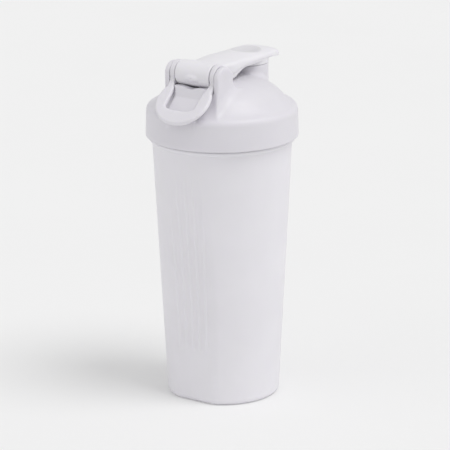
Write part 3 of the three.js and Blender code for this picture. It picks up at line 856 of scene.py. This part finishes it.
def moulded_plastic(name, colour, roughness, grain, painted_shade=None):
    """Pale moulded polypropylene: slightly cloudy colour, a fine satin texture, soft inside, and painted
    shade in a given disc.
    """
    material, tree, shader = new_material(name)
    cloud = noise(tree, 28, 3)
    dark = tuple(c * 0.975 for c in colour)
    light = tuple(min(1, c * 1.012) for c in colour)
    base = mixed_colour(tree, ranged(tree, cloud, 0, 1), dark, light)
    # painted shade: the colour is darkened inside the disc, standing in for the shade in the thumb dish
    if painted_shade:
        base = paint_recess_shade(tree, base, *painted_shade)
    tree.links.new(base, shader.inputs["Base Color"])
    sheen = noise(tree, 160, 4)
    tree.links.new(ranged(tree, sheen, roughness - 0.05, roughness + 0.05), shader.inputs["Roughness"])
    tree.links.new(bumped(tree, noise(tree, grain, 2), 0.00003, 0.35), shader.inputs["Normal"])
    shader.inputs["Subsurface Weight"].default_value = 0.25
    shader.inputs["Subsurface Radius"].default_value = (1.0, 0.95, 1.1)
    shader.inputs["Subsurface Scale"].default_value = 0.003
    shader.inputs["IOR"].default_value = 1.49
    return material


def silicone(name, colour):
    """Soft matt rubber with a faint cloudiness."""
    material, tree, shader = new_material(name)
    cloud = noise(tree, 60, 2)
    dark = tuple(c * 0.96 for c in colour)
    tree.links.new(mixed_colour(tree, ranged(tree, cloud, 0, 1), dark, colour), shader.inputs["Base Color"])
    tree.links.new(ranged(tree, noise(tree, 300, 3), 0.5, 0.62), shader.inputs["Roughness"])
    tree.links.new(bumped(tree, noise(tree, 1500, 2), 0.00002, 0.3), shader.inputs["Normal"])
    shader.inputs["Subsurface Weight"].default_value = 0.3
    shader.inputs["Subsurface Scale"].default_value = 0.003
    shader.inputs["IOR"].default_value = 1.41
    return material


def steel_wire(name):
    """Bright drawn stainless steel with fine streaks."""
    material, tree, shader = new_material(name)
    streaks = noise(tree, 900, 5)
    tree.links.new(mixed_colour(tree, ranged(tree, streaks, 0, 1), (0.55, 0.56, 0.58), (0.72, 0.73, 0.75)),
                   shader.inputs["Base Color"])
    tree.links.new(ranged(tree, streaks, 0.2, 0.34), shader.inputs["Roughness"])
    tree.links.new(bumped(tree, streaks, 0.00002, 0.3), shader.inputs["Normal"])
    shader.inputs["Metallic"].default_value = 1.0
    return material


def floor_material():
    """A matt pale floor that glows a little, so that its shadows stay light."""
    material, tree, shader = new_material("studio_floor")
    cloud = noise(tree, 6, 2)
    tree.links.new(mixed_colour(tree, ranged(tree, cloud, 0, 1), FLOOR_DARK, FLOOR_LIGHT),
                   shader.inputs["Base Color"])
    shader.inputs["Roughness"].default_value = 1.0
    shader.inputs["Specular IOR Level"].default_value = 0.0
    shader.inputs["Emission Color"].default_value = (1, 1, 1, 1)
    shader.inputs["Emission Strength"].default_value = 0.12
    return material


CUP_COLOUR = (0.795, 0.78, 0.822)
LID_COLOUR = (0.722, 0.705, 0.750)
LOOP_COLOUR = (0.745, 0.73, 0.77)
CAP_COLOUR = (0.80, 0.787, 0.822)
# painted shade: the thumb dish's colour is multiplied by this, standing in for the shade that falls in it
PAINTED_RECESS_SHADE = 0.88
SILICONE_COLOUR = (0.66, 0.65, 0.69)
FLOOR_DARK = (0.738, 0.738, 0.738)
FLOOR_LIGHT = (0.746, 0.746, 0.746)


# ---------------------------------------------------------------- studio
def make_floor():
    """A large square floor at the object's foot."""
    half, height = 6.0 * MM, cad_low[2] * MM
    corners = [(-half, -half, height), (half, -half, height), (half, half, height), (-half, half, height)]
    floor = add_mesh("floor", corners, [(0, 1, 2, 3)])
    floor.data.materials.append(floor_material())


def make_light():
    """An even bright surround and three large soft lights."""
    world = bpy.data.worlds.new("studio")
    world.use_nodes = True
    background = world.node_tree.nodes["Background"]
    background.inputs["Color"].default_value = (1, 1, 1, 1)
    background.inputs["Strength"].default_value = 0.65
    bpy.context.scene.world = world
    softbox("key", 1.1, 30, 95, 62)
    softbox("fill", 0.25, 60, -32, 24)
    softbox("side", 0.35, 60, 112, 12)


def softbox(name, strength, width, azimuth, elevation):
    """A far soft light; azimuth runs from -Y towards +X, all angles in degrees."""
    light = bpy.data.lights.new(name, "SUN")
    light.energy = strength
    light.angle = math.radians(width)
    lamp = bpy.data.objects.new(name, light)
    turn, lift = math.radians(azimuth), math.radians(elevation)
    away = Vector((math.sin(turn) * math.cos(lift), -math.cos(turn) * math.cos(lift), math.sin(lift)))
    lamp.rotation_mode = "QUATERNION"
    lamp.rotation_quaternion = away.to_track_quat("Z", "Y")
    bpy.context.scene.collection.objects.link(lamp)


def make_camera():
    """The camera, in metres, aimed at the middle of the object's axis and shifted to frame it."""
    azimuth = math.radians(34)
    distance, height, target = 1.8338, 0.6515, 0.105
    roll = math.radians(-0.33)
    data = bpy.data.cameras.new("camera")
    data.sensor_width = 36
    data.lens = 236.7
    data.clip_end = 50
    camera = bpy.data.objects.new("camera", data)
    place = Vector((math.sin(azimuth) * distance, -math.cos(azimuth) * distance, height))
    forward = (Vector((0, 0, target)) - place).normalized()
    camera.location = place
    camera.rotation_mode = "QUATERNION"
    level = forward.to_track_quat("-Z", "Y")
    camera.rotation_quaternion = level @ Matrix.Rotation(roll, 3, "Z").to_quaternion()
    data.shift_x = 0.00496
    data.shift_y = 0.01975
    bpy.context.scene.collection.objects.link(camera)
    bpy.context.scene.camera = camera


# ---------------------------------------------------------------- assembly
make_camera()
make_light()
make_floor()
bpy.context.scene.view_settings.view_transform = "Standard"

cup_plastic = moulded_plastic("cup_plastic", CUP_COLOUR, 0.46, 1900)
lid_plastic = moulded_plastic("lid_plastic", LID_COLOUR, 0.42, 2300)
# the disc of the thumb dish that gets painted shade
thumb_dish_painted_shade = ((0, DISH_Y / MM), (DISH_RADIUS - PAINTED_SHADE_MARGIN) / MM)
cap_plastic = moulded_plastic("cap_plastic", CAP_COLOUR, 0.42, 2300, thumb_dish_painted_shade)
loop_plastic = moulded_plastic("loop_plastic", LOOP_COLOUR, 0.42, 2300)
soft_silicone = silicone("silicone", SILICONE_COLOUR)
steel = steel_wire("steel")

finish_piece(make_cup(), "cup", "cup_plastic", cup_plastic, "cup")
lid = solid("lid_shell", lid_field, lid_low, lid_high, CELL)
finish_piece(lid, "lid", "lid_plastic", lid_plastic, "lid")
cap = solid("flip_cap_body", cap_field, cap_low, cap_high, CELL * FINE)
finish_piece(cap, "flip_cap", "cap_plastic", cap_plastic, "flip_cap")
loop = solid("carry_loop_body", loop_field, loop_low, loop_high, CELL * FINE)
finish_piece(loop, "carry_loop", "cap_plastic", loop_plastic, "carry_loop")
finish_piece(make_gasket(), "gasket", "silicone", soft_silicone, "lid_gasket")
finish_piece(make_plug_seal(), "flip_cap", "silicone", soft_silicone, "plug_seal")
finish_piece(make_pin(), "lid", "steel", steel, "hinge_pin")
finish_piece(make_whisk_ball(), "whisk_ball", "steel", steel, "whisk_ball")
